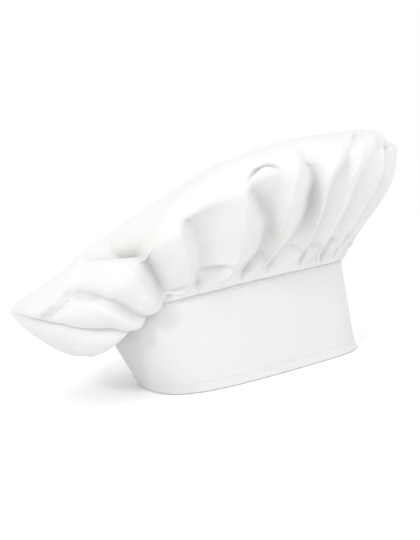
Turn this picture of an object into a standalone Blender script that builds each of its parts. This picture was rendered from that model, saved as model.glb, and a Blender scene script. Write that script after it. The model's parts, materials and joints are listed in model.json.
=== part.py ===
"""A floppy chef's toque: a pleated cotton crown sewn into a tall layered head band.

The hat stands upright on its band. +Z is up and -Y is the forehead. The crown droops over the
forehead, a little towards -X.
The band closes at the back, +Y, with a hook-and-loop flap that peels open about a vertical line.
All sizes are in metres.
"""

import math

import bmesh
import bpy
import numpy as np
from mathutils import Vector

# ---------------------------------------------------------------- driving dimensions
HEAD_HALF_LENGTH = 0.0965      # inside of the band, front to back
HEAD_HALF_WIDTH = 0.0705       # inside of the band, side to side
HEAD_SQUARENESS = 3.4          # exponent of the oval: 2 is an ellipse, larger is boxier
BAND_HEIGHT = 0.083
FRONT_LEAN = 0.033             # how far the drooping crown pulls the front of the band forward
STEPS_AROUND = 72
BAND_ROWS = 4                  # quads up the band's height

CLOTH = 0.0006                 # thickness of one layer of the band
GAP = 0.0003                   # clearance between neighbouring layers
LAYER = CLOTH + GAP
LINING_IN = 0.0
MIDDLE_IN = LAYER              # the interfacing, and above it the crown's seam allowance
OUTER_IN = 2 * LAYER
BAND_FACE = OUTER_IN + CLOTH

LINING_TOP = 0.995             # the layers' tops, as fractions of the band height
INTERFACING_TOP = 0.84
FLAP_TOP = 0.985
SEAM_BOTTOM = 0.88             # the crown's edge reaches this far down between the layers
HEM_LIFT = 0.0012              # the inner layers stop this far above the folded hem
FLAP_HEM_LIFT = 0.0016         # the flap's hem clears the floor by this much
FLAP_STIFFENER_LIFT = 0.0042   # bottom of the flap's interfacing

FLAP_ROOT_STEP = 2             # the flap is sewn on this many steps past the back's middle
UNDER_END = 0.0030             # where the lapped-under end of the band stops
FLAP_TIP = -0.0420
FLAP_RAMP = 0.0120             # length over which the flap climbs over the under end
TAPE = 0.0008                  # thickness of each fastening tape
TAPE_NEAR = -0.0010
TAPE_FAR = -0.0370
TAPE_BOTTOM = 0.0140
TAPE_TOP = 0.0670

CROWN_THICKNESS = CLOTH
CROWN_NECK = 1.02              # height at which the crown clears the band's top edge and turns out
PLEATS = 24
PLEAT_DEPTH = 0.0075
CROWN_RINGS = 15
PLEATED_TO = 0.62              # how far up its section the crown is pleated, as a fraction
CROWN_TOP = 0.2015
CROWN_HALF_LENGTH = 0.1900     # along the droop
CROWN_HALF_WIDTH = 0.1430      # across the droop
CROWN_SHIFT = 0.0145           # how far the crown's middle lies towards the droop
DROOP_BEARING = math.radians(203)   # clockwise from the middle of the back, seen from above
DROOP_SLOPE = 0.47             # fall of the top towards the droop
DROOP_SOFTNESS = 0.035         # how gradually the flat top turns into the slope
SIDE_SLOPE = 0.075             # slighter fall of the top towards +X
ROLL_OUT = 0.0040              # the crown's puff over the band's top edge
ROLL_UP = 0.0035
BELLY_OUT, BELLY_UP = 0.36, 0.28      # section on the raised side, as fractions of reach and rise
FLANK_OUT, FLANK_UP = 0.72, 0.61
LOBE_BELLY_OUT, LOBE_BELLY_HEIGHT = 0.32, 0.044   # the same places on the drooping side
LOBE_FLANK_OUT, LOBE_FLANK_HEIGHT = 0.68, 0.058
LOBE_EDGE = 0.089              # height of the drooping lobe's outermost edge
EDGE_DROP = 0.022              # elsewhere the edge lies this far below the top
CREST_OUT, CREST_DROP = 0.86, 0.003
UPPER_OUT = 0.45

FLAP_LIFT = BAND_FACE + 2 * (GAP + TAPE) + GAP   # how far the flap's layers sit outside the band's


# ---------------------------------------------------------------- the head oval
def oval_points(count=4096):
    """Dense points of the band's inside oval, clockwise from the middle of the back."""
    points = []
    for i in range(count + 1):
        t = 2 * math.pi * i / count
        s, c = math.sin(t), math.cos(t)
        x = HEAD_HALF_WIDTH * math.copysign(abs(s) ** (2 / HEAD_SQUARENESS), s)
        y = HEAD_HALF_LENGTH * math.copysign(abs(c) ** (2 / HEAD_SQUARENESS), c)
        points.append((x, y))
    return np.array(points)


OVAL = oval_points()
OVAL_LENGTHS = np.concatenate(([0.0], np.cumsum(np.linalg.norm(np.diff(OVAL, axis=0), axis=1))))
GIRTH = OVAL_LENGTHS[-1]
STEP = GIRTH / STEPS_AROUND


def oval_at(s):
    """Point of the oval at arc length s from the middle of the back."""
    s = s % GIRTH
    return np.array([np.interp(s, OVAL_LENGTHS, OVAL[:, k]) for k in range(2)])


def outward_at(s):
    """Outward unit normal of the oval at arc length s."""
    reach = 0.002
    ahead, behind = oval_at(s + reach), oval_at(s - reach)
    along = (ahead - behind) / np.linalg.norm(ahead - behind)
    return np.array([-along[1], along[0]])


def lean_at(s):
    """Forward pull on the band's top edge, nothing at the back and most at the forehead."""
    forward = (1 - math.cos(2 * math.pi * s / GIRTH)) / 2
    return FRONT_LEAN * forward ** 2.2


def wall_point(s, height, offset):
    """Point of the band: height is a fraction of the strip, offset is from its inner face."""
    lean = lean_at(s)
    base = oval_at(s) + outward_at(s) * offset
    rise = math.sqrt(BAND_HEIGHT ** 2 - lean ** 2)
    return Vector((base[0], base[1] - lean * height, rise * height))


# ---------------------------------------------------------------- mesh helpers
def make_object(name, bm, material, parent):
    """Turn a bmesh into a smooth-shaded object under an empty, keeping its world place."""
    bmesh.ops.recalc_face_normals(bm, faces=bm.faces)
    mesh = bpy.data.meshes.new(name)
    if parent.location.length > 0:
        bmesh.ops.translate(bm, verts=bm.verts, vec=-parent.location)
    bm.to_mesh(mesh)
    bm.free()
    mesh.shade_smooth()
    mesh.set_sharp_from_angle(angle=math.radians(40))
    mesh.materials.append(material)
    obj = bpy.data.objects.new(name, mesh)
    bpy.context.scene.collection.objects.link(obj)
    obj.parent = parent
    return obj


def make_material(name, color, roughness):
    """A Principled material for cloth or tape."""
    material = bpy.data.materials.new(name)
    material.use_nodes = True
    shader = material.node_tree.nodes["Principled BSDF"]
    shader.inputs["Base Color"].default_value = (*color, 1.0)
    shader.inputs["Roughness"].default_value = roughness
    shader.inputs["Metallic"].default_value = 0.0
    return material


def strip(lengths, low, high, inner, thickness):
    """A closed strip of cloth along the oval.

    low and high are its edges as fractions of the band's height. inner gives the offset of its
    inner face for each arc length.
    """
    bm = bmesh.new()
    sections = []
    for s in lengths:
        between_edges = [k / BAND_ROWS for k in range(1, BAND_ROWS) if low < k / BAND_ROWS < high]
        rows = [low] + between_edges + [high]
        inside = [bm.verts.new(wall_point(s, v, inner(s))) for v in rows]
        outside = [bm.verts.new(wall_point(s, v, inner(s) + thickness)) for v in rows]
        sections.append((inside, outside))
    rungs = range(len(sections[0][0]) - 1)
    for (in_a, out_a), (in_b, out_b) in zip(sections, sections[1:]):
        for side_a, side_b in ((in_a, in_b), (out_a, out_b)):
            for k in rungs:
                bm.faces.new((side_a[k], side_b[k], side_b[k + 1]))
                bm.faces.new((side_a[k], side_b[k + 1], side_a[k + 1]))
        for k in (0, -1):
            bm.faces.new((in_a[k], out_a[k], out_b[k], in_b[k]))
    for inside, outside in (sections[0], sections[-1]):
        for k in rungs:
            bm.faces.new((inside[k], outside[k], outside[k + 1], inside[k + 1]))
    return bm


def constant(value):
    return lambda s: value


def smoothstep(x):
    x = min(1.0, max(0.0, x))
    return x * x * (3 - 2 * x)


def between(start, stop):
    """Arc lengths from start to stop, with every whole step between them."""
    first = math.floor(start / STEP) + 1
    last = math.ceil(stop / STEP) - 1
    inner = [k * STEP for k in range(first, last + 1)]
    inner = [s for s in inner if s - start > 0.0008 and stop - s > 0.0008]
    return [start] + inner + [stop]


# ---------------------------------------------------------------- band and flap
FLAP_ROOT = FLAP_ROOT_STEP * STEP


def build_band(materials, root):
    """The band's three layers, open at the back between the flap's root and the under end."""
    lengths = between(FLAP_ROOT + GAP, GIRTH + UNDER_END)
    inner_low = HEM_LIFT / BAND_HEIGHT
    layers = (
        ("band_lining", inner_low, LINING_TOP, LINING_IN),
        ("band_interfacing", inner_low, INTERFACING_TOP, MIDDLE_IN),
        ("band_outer", 0.0, 1.0, OUTER_IN),
    )
    for name, low, high, inner in layers:
        bm = strip(lengths, low, high, constant(inner), CLOTH)
        make_object(name, bm, materials[name], root)


def flap_lift(s):
    """How far the flap stands outside the band's own layers at arc length s."""
    return FLAP_LIFT * smoothstep((FLAP_ROOT - s) / FLAP_RAMP)


def build_flap(materials, hinge):
    """The lapped-over end of the band, which peels open about its root."""
    ramp = [FLAP_ROOT - FLAP_RAMP * k / 6 for k in range(1, 7)]
    rest = [s for s in between(FLAP_TIP, 0.0) if s < ramp[-1] - 0.001]
    lengths = rest + ramp[::-1] + [FLAP_ROOT]
    low = FLAP_HEM_LIFT / BAND_HEIGHT
    layers = (
        ("flap_lining", low, FLAP_TOP, LINING_IN),
        ("flap_interfacing", FLAP_STIFFENER_LIFT / BAND_HEIGHT, INTERFACING_TOP, MIDDLE_IN),
        ("flap_outer", low, FLAP_TOP, OUTER_IN),
    )
    for name, low_edge, high_edge, inner in layers:
        bm = strip(lengths, low_edge, high_edge, lambda s, i=inner: i + flap_lift(s), CLOTH)
        make_object(name, bm, materials[name], hinge)


def build_tapes(materials, root, hinge):
    """Loop tape outside the under end, hook tape inside the flap, face to face."""
    low = TAPE_BOTTOM / BAND_HEIGHT
    high = TAPE_TOP / BAND_HEIGHT
    lengths = between(TAPE_FAR, TAPE_NEAR)
    loop = strip(lengths, low, high, constant(BAND_FACE + GAP), TAPE)
    make_object("loop_tape", loop, materials["loop_tape"], root)
    hook = strip(lengths, low, high, constant(BAND_FACE + 2 * GAP + TAPE), TAPE)
    make_object("hook_tape", hook, materials["hook_tape"], hinge)


# ---------------------------------------------------------------- crown
def soft_positive(distance):
    """Nothing on the negative side, the distance itself on the positive one, with a soft turn."""
    return (distance + math.hypot(distance, DROOP_SOFTNESS)) / 2


def top_height(x, y):
    """Height of the crown's top over a point: level, then sloping down towards the droop."""
    ahead = x * math.sin(DROOP_BEARING) + y * math.cos(DROOP_BEARING)
    aside = y * math.sin(DROOP_BEARING) - x * math.cos(DROOP_BEARING)
    return CROWN_TOP - DROOP_SLOPE * soft_positive(ahead + 0.015) - SIDE_SLOPE * soft_positive(aside)


def crown_profile(s):
    """Control points of the crown's section at arc length s, from the seam to the crown's middle."""
    seam = wall_point(s, CROWN_NECK, MIDDLE_IN + CLOTH)
    turn = 2 * math.pi * s / GIRTH - DROOP_BEARING
    droop = smoothstep((math.cos(turn) - 0.10) / 0.75)
    ahead = Vector((math.sin(DROOP_BEARING), math.cos(DROOP_BEARING), 0.0))
    aside = Vector((ahead.y, -ahead.x, 0.0))
    middle = ahead * CROWN_SHIFT
    edge = middle + ahead * CROWN_HALF_LENGTH * math.cos(turn) + aside * CROWN_HALF_WIDTH * math.sin(turn)
    out = outward_at(s)

    def mix(level, drooping):
        return level * (1 - droop) + drooping * droop

    def knot(reach, height):
        """A point part of the way from the seam to the crown's edge, at a height."""
        point = seam.lerp(edge, reach)
        point.z = height
        return point

    edge_height = mix(top_height(edge.x, edge.y) - EDGE_DROP, LOBE_EDGE)
    rise = edge_height - seam.z
    roll = seam + Vector((out[0] * ROLL_OUT, out[1] * ROLL_OUT, ROLL_UP))
    belly = knot(mix(BELLY_OUT, LOBE_BELLY_OUT), mix(seam.z + BELLY_UP * rise, LOBE_BELLY_HEIGHT))
    flank = knot(mix(FLANK_OUT, LOBE_FLANK_OUT), mix(seam.z + FLANK_UP * rise, LOBE_FLANK_HEIGHT))
    shoulder = knot(1.0, edge_height)
    crest = middle.lerp(edge, CREST_OUT)
    crest.z = top_height(crest.x, crest.y) - CREST_DROP
    upper = middle.lerp(edge, UPPER_OUT)
    upper.z = top_height(upper.x, upper.y)
    middle.z = top_height(middle.x, middle.y)
    return seam, roll, [belly, flank, shoulder, crest, upper], middle


def spline(points, t):
    """Catmull-Rom curve through points at t from 0 to 1."""
    spans = len(points) - 1
    place = min(t * spans, spans - 1e-9)
    k = int(place)
    u = place - k
    p1, p2 = points[k], points[k + 1]
    p0 = points[k - 1] if k > 0 else p1 * 2 - p2
    p3 = points[k + 2] if k + 2 <= spans else p2 * 2 - p1
    return 0.5 * (
        2 * p1 + (p2 - p0) * u
        + (2 * p0 - 5 * p1 + 4 * p2 - p3) * u ** 2
        + (3 * p1 - p0 - 3 * p2 + p3) * u ** 3
    )


def pleat_wave(step):
    """Knife-pleat profile: a slow rise and a quick fall, from -0.5 to 0.5."""
    phase = (step * PLEATS / STEPS_AROUND) % 1.0
    return (phase / 0.75 if phase <= 0.75 else (1 - phase) / 0.25) - 0.5


def seam_edge(step):
    """Lowest height of the crown's edge: inside the band, but above it over the closure's slit."""
    over_slit = 0 < step < FLAP_ROOT_STEP + 1
    return (1 + CROWN_NECK) / 2 if over_slit else SEAM_BOTTOM


def build_crown(materials, root):
    """The pleated crown: one skin from the band's pocket up to the middle of the top."""
    bm = bmesh.new()
    columns = []
    for step in range(STEPS_AROUND):
        s = step * STEP
        seam, roll, knots, middle = crown_profile(s)
        column = [wall_point(s, seam_edge(step), MIDDLE_IN + CLOTH), seam]
        curve = [roll] + knots + [middle]
        for r in range(CROWN_RINGS):
            t = r / CROWN_RINGS
            point = spline(curve, t)
            swell = PLEAT_DEPTH * math.sin(math.pi * min(1.0, t / PLEATED_TO)) ** 1.2
            away = Vector((point.x - middle.x, point.y - middle.y, 0.0)).normalized()
            column.append(point + away * swell * pleat_wave(step))
        columns.append([bm.verts.new(p) for p in column])
    top = bm.verts.new(middle)
    for i, here in enumerate(columns):
        there = columns[(i + 1) % STEPS_AROUND]
        for a, b, c, d in zip(here, there, there[1:], here[1:]):
            bm.faces.new((a, b, c, d))
        bm.faces.new((here[-1], there[-1], top))
    crown = make_object("crown", bm, materials["crown"], root)
    skin = crown.modifiers.new("cloth thickness", "SOLIDIFY")
    skin.thickness = CROWN_THICKNESS
    skin.offset = -1.0
    skin.use_even_offset = False
    return crown


# ---------------------------------------------------------------- assembly
def rest_on_floor_centred(root):
    """Move the whole hat so that its box is centred on the origin and stands on z = 0."""
    bpy.context.view_layer.update()
    low, high = np.full(3, np.inf), np.full(3, -np.inf)
    for obj in bpy.data.objects:
        if obj.type != "MESH":
            continue
        points = np.array([obj.matrix_world @ v.co for v in obj.data.vertices])
        low = np.minimum(low, points.min(axis=0))
        high = np.maximum(high, points.max(axis=0))
    root.location = (-(low[0] + high[0]) / 2, -(low[1] + high[1]) / 2, -low[2])


def main():
    for obj in list(bpy.data.objects):
        bpy.data.objects.remove(obj, do_unlink=True)

    white = (0.86, 0.86, 0.85)
    materials = {
        "crown": make_material("crown_cotton", white, 0.85),
        "band_outer": make_material("band_cotton", white, 0.85),
        "band_lining": make_material("lining_cotton", (0.82, 0.82, 0.80), 0.88),
        "band_interfacing": make_material("interfacing_felt", (0.78, 0.77, 0.74), 0.95),
        "loop_tape": make_material("loop_tape_nylon", (0.84, 0.84, 0.84), 0.9),
        "hook_tape": make_material("hook_tape_nylon", (0.80, 0.80, 0.80), 0.5),
    }
    materials["flap_outer"] = materials["band_outer"]
    materials["flap_lining"] = materials["band_lining"]
    materials["flap_interfacing"] = materials["band_interfacing"]

    root = bpy.data.objects.new("toque", None)
    bpy.context.scene.collection.objects.link(root)
    hinge = bpy.data.objects.new("flap_hinge", None)
    bpy.context.scene.collection.objects.link(hinge)
    hinge.location = wall_point(FLAP_ROOT, 0.0, BAND_FACE)

    build_band(materials, root)
    build_flap(materials, hinge)
    build_tapes(materials, root, hinge)
    build_crown(materials, root)
    hinge.parent = root
    rest_on_floor_centred(root)


main()
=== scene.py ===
"""Looks of the chef's toque: pleated crown, stitched band and hook-and-loop closure."""

import json
import math

import bmesh
import bpy
import numpy as np
from mathutils import Matrix, Vector, noise


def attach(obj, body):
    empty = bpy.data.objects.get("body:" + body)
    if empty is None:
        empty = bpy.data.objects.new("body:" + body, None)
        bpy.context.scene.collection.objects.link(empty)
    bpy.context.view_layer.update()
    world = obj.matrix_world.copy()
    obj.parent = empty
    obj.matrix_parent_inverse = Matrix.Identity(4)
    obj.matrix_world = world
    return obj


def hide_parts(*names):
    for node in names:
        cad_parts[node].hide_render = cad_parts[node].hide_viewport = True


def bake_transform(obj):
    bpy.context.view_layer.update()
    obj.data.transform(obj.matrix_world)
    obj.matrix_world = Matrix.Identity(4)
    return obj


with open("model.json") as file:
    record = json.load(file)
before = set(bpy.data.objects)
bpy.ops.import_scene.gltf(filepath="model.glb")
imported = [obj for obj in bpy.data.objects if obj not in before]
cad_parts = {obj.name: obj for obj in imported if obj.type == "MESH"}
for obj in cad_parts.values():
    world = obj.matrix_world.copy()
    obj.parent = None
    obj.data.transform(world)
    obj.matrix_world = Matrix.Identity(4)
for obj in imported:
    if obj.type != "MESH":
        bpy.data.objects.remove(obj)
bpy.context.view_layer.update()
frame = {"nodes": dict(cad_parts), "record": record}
scene = bpy.context.scene

# ---------------------------------------------------------------- sizes shared with the CAD frame
MOUNTS = {mount["name"]: mount["pos_m"] for mount in frame["record"]["mounts"]}
MIDDLE = np.array(MOUNTS["head_opening"])   # middle of the head, on the floor
HALF_LENGTH = 0.0965           # inside of the band, front to back
HALF_WIDTH = 0.0705            # inside of the band, side to side
SQUARENESS = 3.4               # exponent of the oval: 2 is an ellipse, larger is boxier
BAND_HEIGHT = 0.083
FRONT_LEAN = 0.033             # how far the crown pulls the front of the band forward
CLOTH = 0.0006                 # one layer of the band
LAYER = 0.0009                 # one layer and the gap to the next
BAND_FACE = 2 * LAYER + CLOTH  # outside of the band, from its inner face

CROWN_TOP = 0.2015
CROWN_HALF_LENGTH = 0.190      # along the droop
CROWN_HALF_WIDTH = 0.143       # across the droop
CROWN_SHIFT = 0.0145           # how far the crown's middle lies towards the droop
DROOP = math.radians(203)      # bearing of the droop, clockwise from the back
DROOP_SLOPE = 0.47
SLOPE_START = 0.015            # the slope starts this far behind the head's middle
SIDE_SLOPE = 0.075
SOFTNESS = 0.035               # how gradually the level top turns into the slope
LOBE_BOTTOM = 0.040            # height of the drooping lobe's underside
LOBE_EDGE = 0.089              # height of its outermost edge

AHEAD = np.array([math.sin(DROOP), math.cos(DROOP)])
ASIDE = np.array([AHEAD[1], -AHEAD[0]])


# ---------------------------------------------------------------- the band's surface
def dense_oval(count=4096):
    """The band's inside oval, clockwise from the middle of the back, with running lengths."""
    t = np.linspace(0, 2 * math.pi, count + 1)
    power = 2 / SQUARENESS
    x = HALF_WIDTH * np.sign(np.sin(t)) * np.abs(np.sin(t)) ** power
    y = HALF_LENGTH * np.sign(np.cos(t)) * np.abs(np.cos(t)) ** power
    points = np.stack([x, y], axis=1)
    steps = np.linalg.norm(np.diff(points, axis=0), axis=1)
    return points, np.concatenate([[0.0], np.cumsum(steps)])


OVAL, OVAL_LENGTHS = dense_oval()
GIRTH = OVAL_LENGTHS[-1]


def smooth(x):
    """Soft step from 0 to 1 as x goes from 0 to 1."""
    x = np.clip(x, 0.0, 1.0)
    return x * x * (3 - 2 * x)


def oval(turn):
    """Points of the oval; turn is the fraction of the girth clockwise from the back."""
    s = (np.asarray(turn, float) % 1.0) * GIRTH
    return np.stack([np.interp(s, OVAL_LENGTHS, OVAL[:, 0]), np.interp(s, OVAL_LENGTHS, OVAL[:, 1])], -1)


def outward(turn):
    """Level direction straight out of the band."""
    reach = 0.002 / GIRTH
    along = oval(np.asarray(turn) + reach) - oval(np.asarray(turn) - reach)
    along /= np.linalg.norm(along, axis=-1, keepdims=True)
    return np.stack([-along[..., 1], along[..., 0]], -1)


def wall(turn, height, offset):
    """Points of the band: height is a fraction of its height, offset is from its inner face."""
    turn, height, offset = np.broadcast_arrays(np.asarray(turn, float), height, offset)
    lean = FRONT_LEAN * ((1 - np.cos(2 * math.pi * turn)) / 2) ** 2.2
    base = oval(turn) + outward(turn) * offset[..., None]
    rise = np.sqrt(BAND_HEIGHT ** 2 - lean ** 2)
    local = np.stack([base[..., 0], base[..., 1] - lean * height, rise * height], -1)
    return local + MIDDLE


# ---------------------------------------------------------------- the crown's smooth body
def soft_positive(distance):
    """The distance where it is positive, and nearly 0 where it is negative."""
    return (distance + np.hypot(distance, SOFTNESS)) / 2


def top_height(xy):
    """Height of the crown's top: level, then sloping down towards the droop."""
    ahead = DROOP_SLOPE * soft_positive(xy @ AHEAD + SLOPE_START)
    aside = SIDE_SLOPE * soft_positive(-(xy @ ASIDE))
    return CROWN_TOP - ahead - aside


def crown_knots(turn):
    """Sections of the crown from the band to its middle, one section for each turn."""
    turn = np.asarray(turn, float)
    seam = wall(turn, 1.02, LAYER + CLOTH) - MIDDLE
    bearing = 2 * math.pi * turn - DROOP
    droop = smooth((np.cos(bearing) - 0.10) / 0.75)
    middle = AHEAD * CROWN_SHIFT
    along = (CROWN_HALF_LENGTH * np.cos(bearing))[..., None]
    across = (CROWN_HALF_WIDTH * np.sin(bearing))[..., None]
    edge = middle + AHEAD * along + ASIDE * across

    def mix(level, drooping):
        return level * (1 - droop) + drooping * droop

    def point(xy, z):
        return np.concatenate([xy, np.broadcast_to(z, turn.shape)[..., None]], -1)

    def part_way(reach, z):
        reach = np.broadcast_to(reach, turn.shape)[..., None]
        return point(seam[..., :2] * (1 - reach) + edge * reach, z)

    # from the band outwards and up, then inwards over the top; a pair of numbers in mix is for the level
    # side and for the drooping side
    edge_height = mix(top_height(edge) - 0.022, LOBE_EDGE)
    rise = edge_height - seam[..., 2]
    crest = middle + (edge - middle) * 0.86
    upper = middle + (edge - middle) * 0.45
    knots = [
        seam + point(outward(turn) * 0.004, 0.0035),
        part_way(mix(0.36, 0.32), mix(seam[..., 2] + 0.28 * rise, LOBE_BOTTOM + 0.004)),
        part_way(mix(0.72, 0.68), mix(seam[..., 2] + 0.61 * rise, LOBE_BOTTOM + 0.018)),
        part_way(1.0, edge_height),
        point(crest, top_height(crest) - 0.003),
        point(upper, top_height(upper)),
        point(np.broadcast_to(middle, upper.shape), top_height(middle)),
    ]
    return np.stack(knots, 0) + MIDDLE


def crown_surface(turn, t):
    """Points of the crown's smooth body; t runs from 0 at the band to 1 at the crown's middle."""
    turn, t = np.broadcast_arrays(np.asarray(turn, float), np.asarray(t, float))
    knots = crown_knots(turn)
    spans = knots.shape[0] - 1
    place = np.minimum(t * spans, spans - 1e-9)
    k = place.astype(int)
    u = (place - k)[..., None]

    def knot(j):
        return np.take_along_axis(knots, np.clip(j, 0, spans)[None, ..., None], 0)[0]

    p1, p2 = knot(k), knot(k + 1)
    p0 = np.where((k > 0)[..., None], knot(k - 1), 2 * p1 - p2)
    p3 = np.where((k + 2 <= spans)[..., None], knot(k + 2), 2 * p2 - p1)
    cubic = 2 * p1 + (p2 - p0) * u + (2 * p0 - 5 * p1 + 4 * p2 - p3) * u ** 2
    return 0.5 * (cubic + (3 * p1 - p0 - 3 * p2 + p3) * u ** 3)


# ---------------------------------------------------------------- the crown's pleats
# The pleats in view, from right to left. Each has the path of its valley and the path of its ridge, as
# pairs of level t and turn that follow a fold of the photograph, then the factor on its depth and the
# level where it ends.
PLEATS_IN_VIEW = (
    (
        ((0, 0.112), (0.20, 0.106), (0.30, 0.106), (0.40, 0.11), (0.50, 0.108), (0.60, 0.085),
         (0.66, 0.05)),
        ((0, 0.122), (0.20, 0.118), (0.30, 0.118), (0.40, 0.122), (0.50, 0.12), (0.60, 0.099),
         (0.66, 0.062)),
        0.36, 0.66,
    ),
    (
        ((0, 0.135), (0.13, 0.13), (0.25, 0.126), (0.34, 0.128), (0.42, 0.138), (0.49, 0.142),
         (0.55, 0.132), (0.60, 0.108), (0.66, 0.075)),
        ((0, 0.147), (0.06, 0.149), (0.18, 0.156), (0.29, 0.16), (0.38, 0.162), (0.51, 0.16),
         (0.55, 0.15), (0.60, 0.126), (0.66, 0.092)),
        0.42, 0.7,
    ),
    (
        ((0, 0.16), (0.08, 0.163), (0.21, 0.168), (0.31, 0.173), (0.42, 0.181), (0.50, 0.174),
         (0.57, 0.16), (0.62, 0.137), (0.68, 0.10)),
        ((0, 0.178), (0.10, 0.184), (0.20, 0.19), (0.31, 0.197), (0.40, 0.201), (0.52, 0.196),
         (0.59, 0.182), (0.65, 0.152), (0.70, 0.125)),
        0.5, 0.74,
    ),
    (
        ((0, 0.197), (0.11, 0.198), (0.19, 0.202), (0.31, 0.209), (0.40, 0.212), (0.54, 0.204),
         (0.62, 0.184), (0.69, 0.145)),
        ((0, 0.207), (0.11, 0.21), (0.19, 0.213), (0.30, 0.221), (0.42, 0.225), (0.49, 0.22),
         (0.56, 0.211), (0.66, 0.17), (0.72, 0.15)),
        0.5, 0.74,
    ),
    (
        ((0, 0.25), (0.02, 0.246), (0.12, 0.23), (0.21, 0.222), (0.31, 0.223), (0.41, 0.23),
         (0.51, 0.24), (0.62, 0.24), (0.70, 0.23)),
        ((0, 0.262), (0.04, 0.26), (0.18, 0.25), (0.25, 0.25), (0.38, 0.254), (0.46, 0.254),
         (0.54, 0.252), (0.60, 0.249)),
        0.9, 0.62,
    ),
    (
        ((0, 0.286), (0.04, 0.275), (0.11, 0.262), (0.20, 0.257), (0.28, 0.261), (0.35, 0.27),
         (0.41, 0.279), (0.45, 0.284)),
        ((0, 0.292), (0.03, 0.296), (0.11, 0.294), (0.18, 0.289), (0.26, 0.287), (0.41, 0.288),
         (0.47, 0.291)),
        1.0, 0.49,
    ),
    (
        ((0, 0.337), (0.08, 0.329), (0.19, 0.321), (0.30, 0.321), (0.39, 0.324), (0.45, 0.328),
         (0.52, 0.333), (0.56, 0.338)),
        ((0, 0.344), (0.10, 0.34), (0.19, 0.337), (0.30, 0.335), (0.45, 0.335), (0.50, 0.337),
         (0.55, 0.342)),
        1.0, 0.53,
    ),
    (
        ((0, 0.37), (0.12, 0.361), (0.25, 0.358), (0.37, 0.358), (0.51, 0.364), (0.56, 0.37),
         (0.60, 0.376), (0.64, 0.39), (0.67, 0.403), (0.70, 0.42)),
        ((0, 0.376), (0.18, 0.37), (0.29, 0.368), (0.40, 0.368), (0.49, 0.371), (0.55, 0.378),
         (0.585, 0.388), (0.61, 0.398), (0.63, 0.415), (0.66, 0.44)),
        1.15, 0.72,
    ),
    (
        ((0, 0.383), (0.20, 0.384), (0.28, 0.386), (0.35, 0.388), (0.42, 0.392), (0.45, 0.396),
         (0.50, 0.403), (0.55, 0.417), (0.58, 0.44)),
        ((0, 0.39), (0.28, 0.392), (0.36, 0.394), (0.42, 0.399), (0.49, 0.41), (0.53, 0.421),
         (0.56, 0.445)),
        0.5, 0.56,
    ),
    (
        ((0, 0.396), (0.20, 0.40), (0.31, 0.405), (0.35, 0.415), (0.39, 0.43), (0.42, 0.445),
         (0.46, 0.459), (0.49, 0.484), (0.51, 0.53)),
        ((0, 0.404), (0.20, 0.41), (0.29, 0.417), (0.33, 0.428), (0.37, 0.443), (0.40, 0.457),
         (0.44, 0.472), (0.47, 0.495), (0.50, 0.537)),
        0.5, 0.54,
    ),
    (
        ((0, 0.418), (0.20, 0.426), (0.30, 0.442), (0.36, 0.467), (0.40, 0.49), (0.44, 0.515),
         (0.50, 0.545)),
        ((0, 0.428), (0.20, 0.44), (0.30, 0.457), (0.36, 0.482), (0.40, 0.503), (0.44, 0.527),
         (0.50, 0.553)),
        0.03, 0.45,
    ),
)
# The edge between the crown's top and its drooping side: pairs of level t and turn.
TOP_EDGE = ((0.482, 0.451), (0.516, 0.433), (0.548, 0.421), (0.588, 0.416), (0.662, 0.418))
# How far the cloth puffs over the band's edge in each pleat in view, then in all others.
ROLLS = (0.5, 0.6, 0.6, 0.7, 0.9, 1.2, 0.6, 0.3, 0.3, 0.3, 0.3)
OTHER_ROLL = 0.5
UNDER_LOBE = 5                 # pleats between the last one in view and its mirror image across the droop
MIRRORED = 4                   # pleats beyond the droop that mirror the ones in view
MIRRORED_DEPTH = 0.5           # how deep these are, compared with the ones in view
BEHIND = 9                     # pleats round the far side and the back
UNEVEN = 0.012                 # how far pleats out of view stray, as a share of their stretch
# Depth of a pleat at each level, before its own factor.
DEPTHS = (
    (0.0, 0.0), (0.013, 0.0010), (0.04, 0.0045), (0.10, 0.007),
    (0.22, 0.0105), (0.34, 0.013), (0.50, 0.012), (0.70, 0.009),
)
# How much of that depth each pleat in view keeps at the band's edge.
FEET = (1, 1, 1, 1, 1, 1, 1, 0.45, 0.35, 0.25, 0.25)
# Columns of the mesh within a pleat: over its steep return, then over its face.
RETURN = (0.0, 0.10, 0.24, 0.40, 0.56, 0.72, 0.86, 0.95)
FACE = (0.0, 0.03, 0.09, 0.18, 0.28, 0.39, 0.50, 0.61, 0.72, 0.82, 0.91, 0.97)
TALL = (0, 1, 2, 3, -1)        # pleats that reach the top on the right; the last repeats the first
FULL = (6, 7, 8)               # pleats of the lobe, whose faces stay full up to the next valley
FINE = (7, 8, 9)               # pleats crossed by the top's edge, which need more columns
HOOKED = 7                     # the pleat that hooks over below the crown's top
LOBE_FOLD = 9                  # the fold between the lobe's side and its underside
# How often the corners of a pleat's path are averaged out.
ROUNDING, LOBE_ROUNDING, HOOK_ROUNDING = 4, 24, 90
# A short arched fold high on the side: the turn and level of its middle, and its reach across.
SHORT_FOLD = (0.276, 0.538, 0.008)
GATHERS = 105                  # fine gathers in one turn
# The crown sinks at the back beyond a line: the direction across it, and its distance from the head's
# middle.
SUNK_TOWARDS = np.array([0.656, 0.792])
SUNK_FROM = 0.1635


def rings_of_crown():
    """Levels t of the crown's rings, closer together by the band and where its side turns into its top."""
    near = [0.0, 0.006, 0.013, 0.021, 0.030, 0.040, 0.050]
    side = list(np.arange(0.0625, 0.43, 0.0102))
    edge = list(np.arange(0.433, 0.70, 0.0055))
    top = list(np.linspace(0.71, 0.97, 20))
    return np.array(near + side + edge + top)


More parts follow.
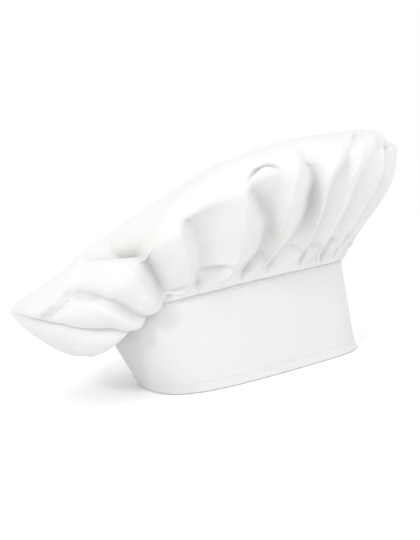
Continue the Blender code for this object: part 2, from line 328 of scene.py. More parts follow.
def follow(path, levels, rounding=ROUNDING):
    """Turn of a path at every level, with its corners rounded."""
    t, turn = zip(*path)
    turns = np.interp(levels, t, turn)
    for _ in range(rounding):
        padded = np.concatenate([turns[:1], turns, turns[-1:]])
        turns = (padded[:-2] + 2 * padded[1:-1] + padded[2:]) / 4
    return turns


def pleats_in_view(levels):
    """Valley, ridge, factor and end of the pleats that the photograph shows."""
    pleats = []
    for k, (valley, ridge, factor, end) in enumerate(PLEATS_IN_VIEW):
        rounding = ROUNDING
        if k >= HOOKED:
            rounding = HOOK_ROUNDING if k == HOOKED else LOBE_ROUNDING
        pleats.append([follow(valley, levels, rounding), follow(ridge, levels, rounding), factor, end])
    return pleats


def filling_pleats(levels, start, stop, count, seed, factor, end):
    """Uneven, slightly swaying pleats between two valleys."""
    pleats = []
    width = (stop - start) / (count + 1)
    for k in range(1, count + 1):
        share = k / (count + 1) + UNEVEN * math.sin(5.1 * k + seed)
        sway = 0.12 * width * math.sin(2.3 * k + seed) * np.sin(levels * 6 + k) * smooth(levels / 0.3)
        valley = start + (stop - start) * share + sway
        ridge = valley + width * (0.28 + 0.08 * math.sin(1.7 * k))
        pleats.append([valley, ridge, factor, end + 0.07 * math.sin(2.9 * k)])
    return pleats


def pleat_table(levels):
    """Valley turns, ridge turns and depths of all pleats at every level, once round the crown."""
    pleats = pleats_in_view(levels)
    first, last = pleats[0], pleats[-1]
    mirror = DROOP / math.pi   # a turn and mirror minus that turn lie either side of the droop
    beyond = []
    for valley, ridge, factor, end in pleats[:-MIRRORED - 1:-1]:
        beyond.append([mirror - valley, mirror - valley + (ridge - valley), MIRRORED_DEPTH * factor, end])
    pleats += filling_pleats(levels, last[0], beyond[0][0], UNDER_LOBE, seed=0.0, factor=0.08, end=0.30)
    pleats += beyond
    start, stop = beyond[-1][0], first[0] + 1.0
    pleats += filling_pleats(levels, start, stop, BEHIND, seed=1.0, factor=0.8, end=0.55)
    pleats.append([first[0] + 1.0, first[1] + 1.0, first[2], first[3]])
    valleys, ridges, factors, ends = zip(*pleats)

    # every pleat fades out towards its end, faster where the top's edge takes over
    fades = []
    for k, end in enumerate(ends):
        length = 0.09 if k in FINE else 0.17
        fades.append(1 - smooth((levels - end + 0.75 * length) / length))
    fades = np.array(fades)
    fades[HOOKED] *= 1 + 0.7 * smooth((levels - 0.54) / 0.09)
    feet = np.ones(len(pleats))
    feet[:len(FEET)] = FEET
    feet[len(FEET):len(FEET) + UNDER_LOBE] = FEET[-1]
    # the tall pleats are shallow where they reach the crown's top
    shallow = np.zeros(len(pleats))
    shallow[list(TALL)] = 0.65
    shallow = shallow[:, None] * smooth((levels - 0.42) / 0.16)
    reached = smooth(levels / 0.22)
    depths = fades * np.interp(levels, *zip(*DEPTHS)) * np.array(factors)[:, None]
    depths = depths * (feet[:, None] * (1 - reached) + reached) * (1 - shallow)
    return np.array(valleys), np.array(ridges), depths


def surface_normal(turns, t):
    """Direction in which the crown's folds stand off its smooth body."""
    step = 0.004
    d_turn = crown_surface(turns + step, t) - crown_surface(turns - step, t)
    d_t = crown_surface(turns, np.minimum(t + step, 1)) - crown_surface(turns, np.maximum(t - step, 0))
    normal = np.cross(d_t, d_turn)
    normal /= np.linalg.norm(normal, axis=-1, keepdims=True) + 1e-12
    # by the band the cloth rolls out over the band's edge, not up
    out = np.concatenate([outward(turns), np.full(turns.shape + (1,), -0.35)], -1)
    rolling = (1 - smooth(t / 0.10))[..., None]
    return normal * (1 - rolling) + out * rolling


def creasing(turns, t):
    """Small uneven creases of worn cotton: along the pleats on the side, in all directions on top."""
    places = crown_surface(turns, t)
    flat = []
    for turn, level, spot in zip(turns.ravel(), t.ravel(), places.reshape(-1, 3)):
        angle = 2 * math.pi * turn
        along = Vector((math.cos(angle), math.sin(angle), 0)) * (5 + 3 * level)
        side = 0.0011 * noise.noise(along * 0.9 + Vector((0, 0, level * 7)))
        side += 0.0005 * noise.noise(along * 3.1 + Vector((7, 0, level * 13)))
        place = Vector(spot)
        top = 0.0018 * noise.noise(place * 17) + 0.0006 * noise.noise(place * 48)
        share = min(max((level - 0.45) / 0.25, 0.0), 1.0)
        flat.append(side * (1 - share) + top * share)
    return np.array(flat).reshape(turns.shape) * smooth(t / 0.08)


def pleat_columns(k, valleys, ridges, depths, levels):
    """Turns and lifts of pleat k's columns: up its steep return, then down over its face."""
    back = np.array(RETURN)[:, None]
    face = np.array(FACE)
    if k in FINE:
        face = np.interp(np.linspace(0, len(FACE) - 1, 4 * len(FACE) - 3), np.arange(len(FACE)), FACE)
    face = face[:, None]
    width = valleys[k + 1] - valleys[k]
    reach = np.clip((ridges[k] - valleys[k]) / width, 0.05, 0.75)
    here, there = depths[k], depths[k + 1]
    crest = 0.16 * here + 0.001 * np.clip(here / 0.004, 0, 1)
    if k == LOBE_FOLD:
        crest = -0.25 * here
    rising = -here + (here + crest) * (1 - (1 - back) ** 1.25)
    # the cloth puffs between folds, rolls over the band's edge and tucks in above that roll
    puff = 0.05 * (here + there) * np.sin(math.pi * face) ** 1.5
    roll = 0.0045 * np.exp(-((levels - 0.040) / 0.026) ** 2)
    roll = roll - 0.0035 * np.exp(-((levels - 0.105) / 0.018) ** 2)
    amount = ROLLS[k] if k < len(ROLLS) else OTHER_ROLL
    puff = puff + roll * amount * np.sin(math.pi * face) ** 0.7
    if k + 1 == LOBE_FOLD:
        puff = puff + 0.5 * there * face ** 3 * smooth((levels - 0.10) / 0.15)
    fall = face ** 1.5 if k in FULL else 1 - (1 - face) ** 1.6
    falling = crest - (crest + there) * fall + puff
    shares = np.concatenate([back * reach, reach + face * (1 - reach)])
    return valleys[k] + shares * width, np.concatenate([rising, falling])


def step_at_top_edge(lifts, turns, levels):
    """Ends the pleats of the lobe in a soft step where its side meets its top."""
    beyond = (turns - follow(TOP_EDGE, levels)) / 0.012
    near = smooth((levels - 0.45) / 0.06) * (1 - smooth((levels - 0.63) / 0.06))
    near = near * (1 - smooth((turns - 0.55) / 0.17))
    lifts = lifts * (1 - near * smooth(beyond + 0.6))
    return lifts + near * 0.0042 * np.tanh(beyond * 2.2) * np.exp(-np.abs(beyond) / 1.8)


def short_fold(turns, levels):
    """An arched groove with a puff below it."""
    turn, level, reach = SHORT_FOLD
    across = np.exp(-((turns - turn) / reach) ** 2)
    arch = level - 300 * (turns - turn) ** 2
    puff = smooth((levels - 0.44) / 0.08) * (1 - smooth((levels - arch) / 0.012))
    groove = np.exp(-((levels - arch - 0.012) / 0.010) ** 2)
    return 0.005 * across * (puff - groove)


def fine_gathers(turns, levels):
    """Fine gathers by the band, at the back and on the right."""
    gathered = (1 - smooth((turns - 0.17) / 0.05)) + smooth((turns - 0.70) / 0.10)
    uneven = 0.35 * np.sin(20 * math.pi * turns)
    gathers = np.sin(2 * math.pi * (GATHERS * turns + uneven) + 6 * levels)
    return 0.0011 * gathered * gathers * smooth(levels / 0.02) * (1 - smooth((levels - 0.05) / 0.16))


def sunk_corner(body, turns, t):
    """How far the crown sinks at its back corner, behind the pleats on the right."""
    past = (body[..., :2] - MIDDLE[:2]) @ SUNK_TOWARDS - SUNK_FROM
    depth = 0.0065 * smooth((t - 0.34) / 0.12) + 0.0035 * smooth((t - 0.48) / 0.08)
    return depth * smooth(past / 0.016 + 0.6) * smooth(((turns + 0.5) % 1 - 0.535) / 0.05)


def build_crown_mesh():
    """Points of the crown by column and ring, seam allowance included, and the middle of its top."""
    levels = rings_of_crown()
    valleys, ridges, depths = pleat_table(levels)
    columns = [pleat_columns(k, valleys, ridges, depths, levels) for k in range(len(valleys) - 1)]
    turns = np.concatenate([turn for turn, _ in columns])
    lifts = np.concatenate([lift for _, lift in columns])
    t = np.broadcast_to(levels, turns.shape)
    lifts = step_at_top_edge(lifts, turns, levels)
    lifts = lifts + short_fold(turns, levels) + fine_gathers(turns, levels) + creasing(turns, t)
    body = crown_surface(turns, t)
    lifts = lifts - sunk_corner(body, turns, t)
    points = body + surface_normal(turns, t) * lifts[..., None]
    # the roll hangs a little over the band's edge
    points[..., 2] -= 0.0052 * (1 - smooth(t / 0.035))
    # the seam allowance goes down between the band's layers, from over its edge
    between = LAYER + CLOTH / 2
    allowance = ((0.90, between), (0.96, between), (1.0, between), (1.03, 2 * LAYER))
    low = np.stack([wall(turns[:, 0], height, offset) for height, offset in allowance], 1)
    return np.concatenate([low, points], 1), crown_surface(0.0, 1.0)


def mesh_object(name, vertices, faces, material):
    """A smooth-shaded object of one mesh and one material."""
    mesh = bpy.data.meshes.new(name)
    mesh.from_pydata([tuple(v) for v in vertices], [], [tuple(int(i) for i in f) for f in faces])
    mesh.update()
    mesh.shade_smooth()
    mesh.materials.append(material)
    obj = bpy.data.objects.new(name, mesh)
    scene.collection.objects.link(obj)
    return obj


def ring_of_quads(columns, rows):
    """Quads of a closed ring of columns, whose vertex index is column * rows + row."""
    faces = []
    for i in range(columns):
        j = (i + 1) % columns
        for r in range(rows - 1):
            faces.append((i * rows + r, i * rows + r + 1, j * rows + r + 1, j * rows + r))
    return faces


def build_crown(material):
    """The crown's one cloth, closed by a fan of triangles at the middle of its top."""
    points, top = build_crown_mesh()
    columns, rows = points.shape[:2]
    vertices = np.concatenate([points.reshape(-1, 3), top[None]], 0)
    faces = ring_of_quads(columns, rows)
    last = len(vertices) - 1
    for i in range(columns):
        faces.append((i * rows + rows - 1, last, ((i + 1) % columns) * rows + rows - 1))
    return mesh_object("crown_cloth", vertices, faces, material)


# ---------------------------------------------------------------- band, flap and tapes
# Lengths s along the band run clockwise from the middle of the back.
STEPS_AROUND = 72              # the CAD's steps round the band; the flap's root is two steps from the back
BAND_COLUMN, FLAP_COLUMN = 0.0022, 0.001    # width of the mesh columns
GAP = 0.0003                   # clearance between neighbouring layers
FLAP_ROOT = 2 * GIRTH / STEPS_AROUND
UNDER_END = 0.003              # where the lapped-under end of the band stops
FLAP_TIP = -0.042
FLAP_RAMP = 0.012              # length over which the flap climbs over the under end
FLAP_CORNER = 0.003            # radius of the flap's corners
FLAP_EDGES = (0.0016, 0.985 * BAND_HEIGHT)
LINING_EDGES = (0.0012, 0.995 * BAND_HEIGHT)
TAPE = 0.0008
TAPE_NEAR, TAPE_FAR = -0.001, -0.037
TAPE_BOTTOM, TAPE_TOP = 0.014, 0.067
TAPE_CORNER = 0.0015
TAPE_BASE = 0.00032            # thickness of a tape below its loops or hooks
PILE_RADIUS, HOOK_RADIUS = 0.00009, 0.00011
HOOK_SIZE, LOOP_SIZE = 0.00085, 0.0006
PITCH_ALONG, PITCH_UP = 0.0015, 0.0017      # distance from one loop or hook to the next
FLAP_LIFT = BAND_FACE + 2 * (GAP + TAPE) + GAP
HEM = 0.0095                   # height of the folded hem
BAND_HEM_STEP, FLAP_HEM_STEP = 0.0002, 0.0003
# Heights of the two rows round the band, and distances of rows from the flap's and the tape's edges.
HEM_STITCH, TOP_STITCH = 0.0085, 0.0795
ROOT_STITCH, SEAM_IN = 0.0022, 0.002
# Length of a stitch, the gap to the next one, and the thread's radius.
STITCH, STITCH_GAP, THREAD = 0.0026, 0.0013, 0.00026


def flap_lift(s):
    """How far the flap stands off the band's faces."""
    return FLAP_LIFT * smooth((FLAP_ROOT - s) / FLAP_RAMP)


def band_ripple(s, z):
    """How far the band's outer cloth stands off its stiffening: soft waves, puckers and a kicked hem."""
    s, z = np.broadcast_arrays(np.asarray(s, float), np.asarray(z, float))
    away = smooth((s - 0.030) / 0.030) * smooth((GIRTH - 0.055 - s) / 0.03)
    waves = 0.0006 + 0.00035 * np.sin(s * 41 + 1) * np.sin(z * 30 + s * 9)
    waves = waves + 0.00025 * np.sin(s * 97 + z * 45)
    puckers = 0.0004 * (1 + np.sin(s * 640 + 2 * np.sin(s * 90))) * np.exp(-((BAND_HEIGHT - z) / 0.010))
    kick = (0.0007 + 0.0022 * np.exp(-((s - 0.070) / 0.022) ** 2)) * np.exp(-z / 0.006)
    return away * (waves + puckers + kick)


def band_point(s, z, offset):
    """Points of the band at length s along it and height z, that far out of its inner face."""
    return wall(np.asarray(s) / GIRTH, np.asarray(z) / BAND_HEIGHT, offset)


def cloth_strip(name, lengths, edges, offsets, material, rows=26, corner=0.0):
    """A closed strip of cloth along the band with rounded edges.

    edges gives the lowest and highest z, offsets(s, z) the inner and outer face, and corner the
    radius of the corners at the strip's first end.
    """
    lengths = np.asarray(lengths, float)
    low, high = edges
    back = np.clip(corner - (lengths - lengths[0]), 0, corner)
    trim = corner - np.sqrt(corner ** 2 - back ** 2)
    share = np.linspace(0, 1, rows)
    # rows are closer together by the edges
    share = 0.5 * share + 0.5 * (1 - np.cos(math.pi * share)) / 2
    z = (low + trim)[:, None] + (high - low - 2 * trim)[:, None] * share[None]
    s = np.broadcast_to(lengths[:, None], z.shape)
    inner, outer = offsets(s, z)
    middle = (inner + outer) / 2
    round_off = (outer - inner)[:, :1] * 0.45
    bottom = band_point(s[:, :1], z[:, :1], middle[:, :1])
    top = band_point(s[:, -1:], z[:, -1:], middle[:, -1:])
    inset = np.zeros(rows)
    inset[0], inset[-1] = 1.0, -1.0
    z_face = z + inset[None] * round_off
    out_face = band_point(s, z_face, outer)
    in_face = band_point(s, z_face, inner)
    loops = np.concatenate([bottom, out_face, top, in_face[:, ::-1]], 1)
    columns, ring = loops.shape[:2]
    faces = []
    for i in range(columns - 1):
        for r in range(ring):
            q = (r + 1) % ring
            faces.append((i * ring + r, i * ring + q, (i + 1) * ring + q, (i + 1) * ring + r))
    # the strip's two ends
    for start in (0, (columns - 1) * ring):
        faces.append((start, start + 1, start + ring - 1))
        for r in range(1, rows):
            out, back = start + 1 + r, start + ring - r - 1
            faces.append((out - 1, out, back, back + 1))
        faces.append((start + rows, start + rows + 1, start + rows + 2))
    obj = mesh_object(name, loops.reshape(-1, 3), faces, material)
    tidy_normals(obj)
    return obj


def tidy_normals(obj):
    """Turns all faces outwards and keeps the strip's edges crisp."""
    work = bmesh.new()
    work.from_mesh(obj.data)
    bmesh.ops.recalc_face_normals(work, faces=work.faces)
    work.to_mesh(obj.data)
    work.free()
    obj.data.set_sharp_from_angle(angle=math.radians(50))


def hem_step(z, height):
    """The outer face stands out by the height of a step where the hem is folded."""
    return height * (1 - smooth((z - HEM + 0.0008) / 0.0008))


def build_band(outer_cloth, inner_cloth):
    """The outer cloth with its hem and the lining, open at the back under the flap."""
    end = GIRTH + UNDER_END
    lengths = np.concatenate([np.arange(FLAP_ROOT + GAP, end, BAND_COLUMN), [end]])

    def outside(s, z):
        ripple = band_ripple(s, z)
        return 2 * LAYER + ripple * 0.9, BAND_FACE + ripple + hem_step(z, BAND_HEM_STEP)

    band = cloth_strip("band_cloth", lengths, (0.0, BAND_HEIGHT), outside, outer_cloth, rows=44)
    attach(band, "hat")
    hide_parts("band_outer")

    def inside(s, z):
        return np.zeros_like(z), np.full_like(z, CLOTH)

    lining = cloth_strip("lining_cloth", lengths, LINING_EDGES, inside, inner_cloth, rows=20)
    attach(lining, "hat")
    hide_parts("band_lining")


def build_flap(outer_cloth, inner_cloth):
    """The flap's two cloths, which stay sewn at the root and bend where they peel away."""
    corner = FLAP_TIP + FLAP_CORNER * (1 - np.cos(np.linspace(0, math.pi / 2, 8)))
    straight = np.arange(FLAP_TIP + FLAP_CORNER + FLAP_COLUMN, FLAP_ROOT, FLAP_COLUMN)
    lengths = np.concatenate([corner, straight, [FLAP_ROOT]])

    def outside(s, z):
        hem = hem_step(z, FLAP_HEM_STEP) * smooth((FLAP_ROOT - s) / 0.004)
        puff = 0.00024 * (1 + np.sin(z * 210 + s * 60))
        puff = puff * smooth((s - FLAP_TIP) / 0.006) * smooth((FLAP_ROOT - s) / 0.01)
        lift = flap_lift(s)
        return 2 * LAYER + lift, BAND_FACE + lift + hem + puff

    def inside(s, z):
        lift = flap_lift(s)
        return lift, lift + CLOTH

    half_way_up = 0.04
    root = band_point(FLAP_ROOT - 0.001, half_way_up, BAND_FACE)
    past = band_point(FLAP_ROOT - 0.009, half_way_up, BAND_FACE)
    for name, offsets, cloth, node, finish in (
        ("flap_cloth", outside, outer_cloth, "flap_outer", "band_cotton"),
        ("flap_lining_cloth", inside, inner_cloth, "flap_lining", "lining_cotton"),
    ):
        flap = cloth_strip(name, lengths, FLAP_EDGES, offsets, cloth, rows=30, corner=FLAP_CORNER)
        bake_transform(flap)
        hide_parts(node)


def tube(points, radius, sides=5):
    """Vertices and faces of a closed tube along a short path."""
    points = np.asarray(points, float)
    along = np.gradient(points, axis=0)
    along /= np.linalg.norm(along, axis=1, keepdims=True) + 1e-12
    helper = np.array([0.31, 0.17, 0.93])
    side = np.cross(along, helper)
    side /= np.linalg.norm(side, axis=1, keepdims=True) + 1e-12
    up = np.cross(side, along)
    taper = np.ones(len(points))
    taper[0] = taper[-1] = 0.55
    angle = 2 * math.pi * np.arange(sides) / sides
    ring = side[:, None] * np.cos(angle)[None, :, None] + up[:, None] * np.sin(angle)[None, :, None]
    vertices = (points[:, None] + ring * (radius * taper)[:, None, None]).reshape(-1, 3)
    faces = []
    for i in range(len(points) - 1):
        for k in range(sides):
            j = (k + 1) % sides
            faces.append((i * sides + k, i * sides + j, (i + 1) * sides + j, (i + 1) * sides + k))
    faces.append(tuple(range(sides))[::-1])
    last = (len(points) - 1) * sides
    faces.append(tuple(range(last, last + sides)))
    return vertices, faces


def tubes_object(name, paths, radius, material, sides=5):
    """One object of many tubes."""
    vertices, faces, count = [], [], 0
    for path in paths:
        v, f = tube(path, radius, sides)
        vertices.append(v)
        faces.extend(tuple(i + count for i in face) for face in f)
        count += len(v)
    return mesh_object(name, np.concatenate(vertices), faces, material)


def stitches(path, surface):
    """Stitches along a path of (s, z) points; surface gives the cloth's face there."""
    path = np.asarray(path, float)
    lengths = np.concatenate([[0], np.cumsum(np.linalg.norm(np.diff(path, axis=0), axis=1))])
    paths = []
    share = np.linspace(0, 1, 6)
    hump = THREAD * (0.9 * np.sin(math.pi * share) - 0.35)
    start = STITCH_GAP
    while start + STITCH < lengths[-1]:
        at = start + STITCH * share
        s = np.interp(at, lengths, path[:, 0])
        z = np.interp(at, lengths, path[:, 1])
        paths.append(band_point(s, z, surface(s, z) + hump))
        start += STITCH + STITCH_GAP
    return paths


def build_stitches(thread):
    """Stitch rows along the band's hem and top, up the flap's root, and round the flap and its tape."""
    def on_band(s, z):
        return BAND_FACE + band_ripple(s, z) + BAND_HEM_STEP * (z < HEM - 0.0004)

    def on_flap(s, z):
        return BAND_FACE + flap_lift(s) + 0.0004

    first, last = FLAP_ROOT + 0.002, GIRTH + FLAP_TIP - 0.002
    around = np.linspace(first, last, 300)
    rows = [np.stack([around, np.full_like(around, z)], 1) for z in (HEM_STITCH, TOP_STITCH)]
    rows.append([(FLAP_ROOT + ROOT_STITCH, 0.010), (FLAP_ROOT + ROOT_STITCH, 0.0785)])
    paths = [stitch for row in rows for stitch in stitches(row, on_band)]
    band = tubes_object("band_stitches", paths, THREAD, thread)
    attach(band, "hat")
    near, far = TAPE_NEAR - SEAM_IN, TAPE_FAR + SEAM_IN
    low, high = TAPE_BOTTOM + SEAM_IN, TAPE_TOP - SEAM_IN
    box = [(near, low), (far, low), (far, high), (near, high), (near, low)]
    heights = (HEM_STITCH, TOP_STITCH - SEAM_IN)
    across = [[(FLAP_ROOT - 0.014, z), (FLAP_TIP + FLAP_CORNER, z)] for z in heights]
    edge = [(FLAP_TIP + ROOT_STITCH, z) for z in heights]
    paths = [stitch for row in [box, edge, *across] for stitch in stitches(row, on_flap)]
    flap = tubes_object("flap_stitches", paths, THREAD, thread)
    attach(flap, "flap")


def build_tapes(loop_nylon, hook_nylon):
    """Loop tape with its pile and hook tape with its rows of hooks, each on a thin woven base."""
    lengths = np.linspace(TAPE_FAR, TAPE_NEAR, 30)
    edges = (TAPE_BOTTOM, TAPE_TOP)

    def loop_base(s, z):
        low = np.full_like(z, BAND_FACE + GAP)
        return low, low + TAPE_BASE + 0.00006 * np.sin(z * 2400)

    def hook_base(s, z):
        high = np.full_like(z, BAND_FACE + 2 * (GAP + TAPE))
        return high - TAPE_BASE, high

    loop = cloth_strip("loop_tape_base", lengths, edges, loop_base, loop_nylon, rows=40, corner=TAPE_CORNER)
    hook = cloth_strip("hook_tape_base", lengths, edges, hook_base, hook_nylon, rows=24, corner=TAPE_CORNER)
    hooks, loops = [], []
    # one hook and one loop, as distances along the tape and off its base
    bend = np.array([[0, 0], [0, 0.35], [0.12, 0.62], [0.42, 0.72], [0.60, 0.50]]) * HOOK_SIZE
    arch = np.array([[-0.5, 0], [-0.42, 0.5], [0, 0.9], [0.42, 0.5], [0.5, 0]]) * LOOP_SIZE
    lean, drop = bend.T
    lay, rise = arch.T
    face = BAND_FACE + 2 * (GAP + TAPE) - TAPE_BASE
    pile = BAND_FACE + GAP + TAPE_BASE
    for i, s in enumerate(np.arange(TAPE_FAR + 0.0022, TAPE_NEAR - 0.0015, PITCH_ALONG)):
        for j, z in enumerate(np.arange(TAPE_BOTTOM + 0.002, TAPE_TOP - 0.0018, PITCH_UP)):
            turn = 1 if (i + j) % 2 else -1
            hooks.append(band_point(s, z + turn * lean, face - drop))
            spin = 2.4 * i + 1.7 * j
            height = pile + rise * (0.8 + 0.3 * math.sin(spin * 3))
            loops.append(band_point(s + lay * math.cos(spin), z + lay * math.sin(spin), height))
    hook_rows = tubes_object("hook_tape_hooks", hooks, HOOK_RADIUS, hook_nylon, sides=4)
    loop_pile = tubes_object("loop_tape_pile", loops, PILE_RADIUS, loop_nylon, sides=4)
    for piece in (loop, loop_pile):
        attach(piece, "hat")
    for piece in (hook, hook_rows):
        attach(piece, "flap")
    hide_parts("loop_tape")
    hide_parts("hook_tape")


# ---------------------------------------------------------------- materials
FOLD_DEPTH = 0.012             # folds closer together than this get shade painted into the cloth's colour


def new_material(name, color, roughness):
    """A material of one colour, with its node tree and its shader."""
    material = bpy.data.materials.new(name)
    material.use_nodes = True
    shader = material.node_tree.nodes["Principled BSDF"]
    shader.inputs["Base Color"].default_value = (*color, 1)
    shader.inputs["Roughness"].default_value = roughness
    return material, material.node_tree, shader


def cloth_material(name, color, thread_pitch, twill, depth, sheen=0.25, fold_shade=0.1):
    """Woven cotton: crossing threads, slubs and soft crumpling in the bump, and slightly uneven colour.

    thread_pitch is the distance between threads, depth the bump's height, both in metres, and the last
    argument is how much shade an ambient-occlusion node paints into the colour deep in the folds.
    """
    material, tree, shader = new_material(name, color, 0.88)
    nodes, links = tree.nodes, tree.links
    place = nodes.new("ShaderNodeTexCoord").outputs["Object"]

    def texture(kind, **sockets):
        node = nodes.new(kind)
        links.new(place, node.inputs["Vector"])
        for socket, value in sockets.items():
            node.inputs[socket.replace("_", " ")].default_value = value
        return node

    def math_node(operation, a, b):
        node = nodes.new("ShaderNodeMath")
        node.operation = operation
        for socket, value in zip(node.inputs, (a, b)):
            if isinstance(value, (int, float)):
                socket.default_value = value
            else:
                links.new(value, socket)
        return node.outputs["Value"]

    def threads(direction):
        # a wave texture at scale 1 has 20 bands in 2 pi units
        scale = 2 * math.pi / (20 * thread_pitch)
        wave = texture("ShaderNodeTexWave", Scale=scale, Distortion=0.6, Detail_Scale=2.0)
        wave.bands_direction = direction
        return wave.outputs["Fac"]

    rows = math_node("MULTIPLY", threads("DIAGONAL" if twill else "Z"), 0.6)
    posts = math_node("MULTIPLY", math_node("MULTIPLY", threads("X"), threads("Y")), 0.6)
    weave = math_node("ADD", rows, posts)
    slubs = texture("ShaderNodeTexNoise", Scale=900.0, Detail=3.0).outputs["Fac"]
    crumple = texture("ShaderNodeTexNoise", Scale=55.0, Detail=5.0, Roughness=0.55).outputs["Fac"]
    cloth = math_node("ADD", math_node("MULTIPLY", weave, 0.16), math_node("MULTIPLY", slubs, 0.10))
    height = math_node("ADD", cloth, crumple)
    bump = nodes.new("ShaderNodeBump")
    bump.inputs["Strength"].default_value = 0.5
    bump.inputs["Distance"].default_value = depth
    links.new(height, bump.inputs["Height"])
    links.new(bump.outputs["Normal"], shader.inputs["Normal"])
    tint = texture("ShaderNodeTexNoise", Scale=14.0, Detail=4.0).outputs["Fac"]
    shade = math_node("ADD", math_node("MULTIPLY", tint, 0.8), math_node("MULTIPLY", weave, 0.2))
    ramp = nodes.new("ShaderNodeValToRGB")
    links.new(shade, ramp.inputs["Fac"])
    yellowed, clean = ramp.color_ramp.elements
    yellowed.position, clean.position = 0.3, 0.7
    yellowed.color = (color[0] * 0.972, color[1] * 0.970, color[2] * 0.962, 1)
    clean.color = (*color, 1)
    # painted shade: an ambient-occlusion node darkens the colour where folds and creases close in, as shade
    # would
    folds = nodes.new("ShaderNodeAmbientOcclusion")
    folds.only_local = True
    folds.samples = 8
    folds.inputs["Distance"].default_value = FOLD_DEPTH
    shade_mix = nodes.new("ShaderNodeMix")
    shade_mix.data_type = "RGBA"
    shade_mix.blend_type = "MULTIPLY"
    shade_mix.inputs["Factor"].default_value = fold_shade
    # sockets 6 and 7 are the two colours of an RGBA mix, and output 2 is its result
    links.new(ramp.outputs["Color"], shade_mix.inputs[6])
    links.new(folds.outputs["AO"], shade_mix.inputs[7])
    links.new(shade_mix.outputs[2], shader.inputs["Base Color"])
    rough = nodes.new("ShaderNodeMapRange")
    links.new(slubs, rough.inputs["Value"])
    rough.inputs["To Min"].default_value, rough.inputs["To Max"].default_value = 0.80, 0.95
    links.new(rough.outputs["Result"], shader.inputs["Roughness"])
    shader.inputs["Sheen Weight"].default_value = sheen
    shader.inputs["Sheen Roughness"].default_value = 0.5
    shader.inputs["Specular IOR Level"].default_value = 0.2
    return material


def nylon_material(name, color, roughness):
    """Fuzzy nylon or thread."""
    material, tree, shader = new_material(name, color, roughness)
    nodes, links = tree.nodes, tree.links
    place = nodes.new("ShaderNodeTexCoord").outputs["Object"]
    fuzz = nodes.new("ShaderNodeTexNoise")
    fuzz.inputs["Scale"].default_value = 1500
    fuzz.inputs["Detail"].default_value = 4
    links.new(place, fuzz.inputs["Vector"])
    ramp = nodes.new("ShaderNodeValToRGB")
    ramp.color_ramp.elements[0].color = tuple(c * 0.9 for c in color) + (1,)
    ramp.color_ramp.elements[1].color = (*color, 1)
    links.new(fuzz.outputs["Fac"], ramp.inputs["Fac"])
    links.new(ramp.outputs["Color"], shader.inputs["Base Color"])
    bump = nodes.new("ShaderNodeBump")
    bump.inputs["Strength"].default_value = 0.6
    bump.inputs["Distance"].default_value = 0.0001
    links.new(fuzz.outputs["Fac"], bump.inputs["Height"])
    links.new(bump.outputs["Normal"], shader.inputs["Normal"])
    shader.inputs["Sheen Weight"].default_value = 0.15
    return material


# the crown's deep pleats get the most painted shade in their folds
cotton = cloth_material("crown_cotton", (0.70, 0.695, 0.69), 0.0005, False, 0.0006, fold_shade=0.34)
band_cotton = cloth_material("band_cotton", (0.65, 0.65, 0.66), 0.0005, True, 0.0004)
lining_cotton = cloth_material("lining_cotton", (0.66, 0.66, 0.64), 0.0006, False, 0.0003)
felt = cloth_material("interfacing_felt", (0.62, 0.61, 0.58), 0.0009, True, 0.0004, sheen=0.4)
thread_cotton = nylon_material("sewing_thread", (0.72, 0.72, 0.71), 0.6)
loop_nylon = nylon_material("loop_tape_nylon", (0.68, 0.68, 0.68), 0.85)
hook_nylon = nylon_material("hook_tape_nylon", (0.64, 0.64, 0.64), 0.45)

# ---------------------------------------------------------------- the hat
crown = build_crown(cotton)
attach(crown, "hat")
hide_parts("crown")
build_band(band_cotton, lining_cotton)
build_flap(band_cotton, lining_cotton)
build_tapes(loop_nylon, hook_nylon)
build_stitches(thread_cotton)
for name in ("band_interfacing", "flap_interfacing"):
    for slot in frame["nodes"][name].material_slots:
        slot.material = felt


# ---------------------------------------------------------------- stage, light and camera
LENS, SENSOR = 50.4, 36        # focal length and height of the sensor, in mm
VIEW_BEARING = math.radians(64)
VIEW_DISTANCE = 0.71
VIEW_HEIGHT = 0.135
VIEW_ROLL = math.radians(10)
AIM_LEFT, AIM_DOWN = 0.01587, 0.06217   # slopes by which the camera aims beside straight ahead
LIT_POINT = (0, 0, 0.1)
FLOOR_SIZE = 12
FLOOR_DROP = 0.0005            # the floor lies this far below the hat's foot
FLOOR_GLOW = 0.14


def build_stage():
    """A white floor that glows a little, so that it fades into the white world."""
    bpy.ops.mesh.primitive_plane_add(size=FLOOR_SIZE, location=(0, 0, -FLOOR_DROP))
    floor = bpy.context.object
    floor.name = "floor"
    material, _, shader = new_material("floor_white", (0.86, 0.86, 0.86), 0.9)
    shader.inputs["Emission Color"].default_value = (1, 1, 1, 1)
    shader.inputs["Emission Strength"].default_value = FLOOR_GLOW
    floor.data.materials.append(material)


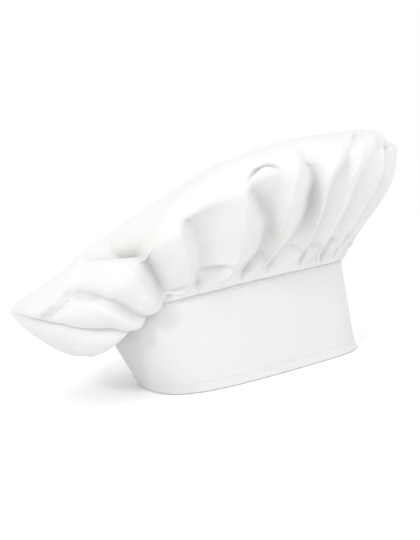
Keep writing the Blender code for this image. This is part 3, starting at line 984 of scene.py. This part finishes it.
def add_area(name, place, size, power, color):
    """A round area light aimed at the hat."""
    light = bpy.data.lights.new(name, "AREA")
    light.shape = "DISK"
    light.size = size
    light.energy = power
    light.color = color
    obj = bpy.data.objects.new(name, light)
    obj.location = place
    aim = Vector(LIT_POINT) - Vector(place)
    obj.rotation_euler = aim.to_track_quat("-Z", "Y").to_euler()
    scene.collection.objects.link(obj)


def build_camera():
    """A camera at the wearer's left and slightly in front, rolled as the photograph is."""
    toward = Vector((math.sin(VIEW_BEARING), -math.cos(VIEW_BEARING), 0))
    right = Vector((math.cos(VIEW_BEARING), math.sin(VIEW_BEARING), 0))
    up = Vector((0, 0, 1))
    forward = -toward
    rolled_right = right * math.cos(VIEW_ROLL) - up * math.sin(VIEW_ROLL)
    rolled_up = right * math.sin(VIEW_ROLL) + up * math.cos(VIEW_ROLL)
    aim = (forward - rolled_right * AIM_LEFT - rolled_up * AIM_DOWN).normalized()
    side = aim.cross(rolled_up).normalized()
    top = side.cross(aim).normalized()
    camera = bpy.data.cameras.new("camera")
    camera.sensor_fit = "VERTICAL"
    camera.sensor_height = SENSOR
    camera.lens = LENS
    camera.clip_start = 0.01
    obj = bpy.data.objects.new("camera", camera)
    rotation = Matrix((side, top, -aim)).transposed().to_4x4()
    place = Vector(MIDDLE) + toward * VIEW_DISTANCE + Vector((0, 0, VIEW_HEIGHT))
    obj.matrix_world = Matrix.Translation(place) @ rotation
    scene.collection.objects.link(obj)
    scene.camera = obj


build_stage()
build_camera()
add_area("key", (1.1, -1.4, 1.35), size=0.35, power=11.8, color=(1.0, 0.985, 0.955))
add_area("side", (1.8, -0.1, 1.0), size=0.8, power=7, color=(0.96, 0.975, 1.0))
add_area("fill", (1.1, 1.3, 1.9), size=0.8, power=2.5, color=(0.985, 0.99, 1.0))
world = bpy.data.worlds.new("studio")
scene.world = world
world.use_nodes = True
background = world.node_tree.nodes["Background"]
background.inputs["Color"].default_value = (1, 1, 1, 1)
background.inputs["Strength"].default_value = 1.0
scene.view_settings.view_transform = "Standard"
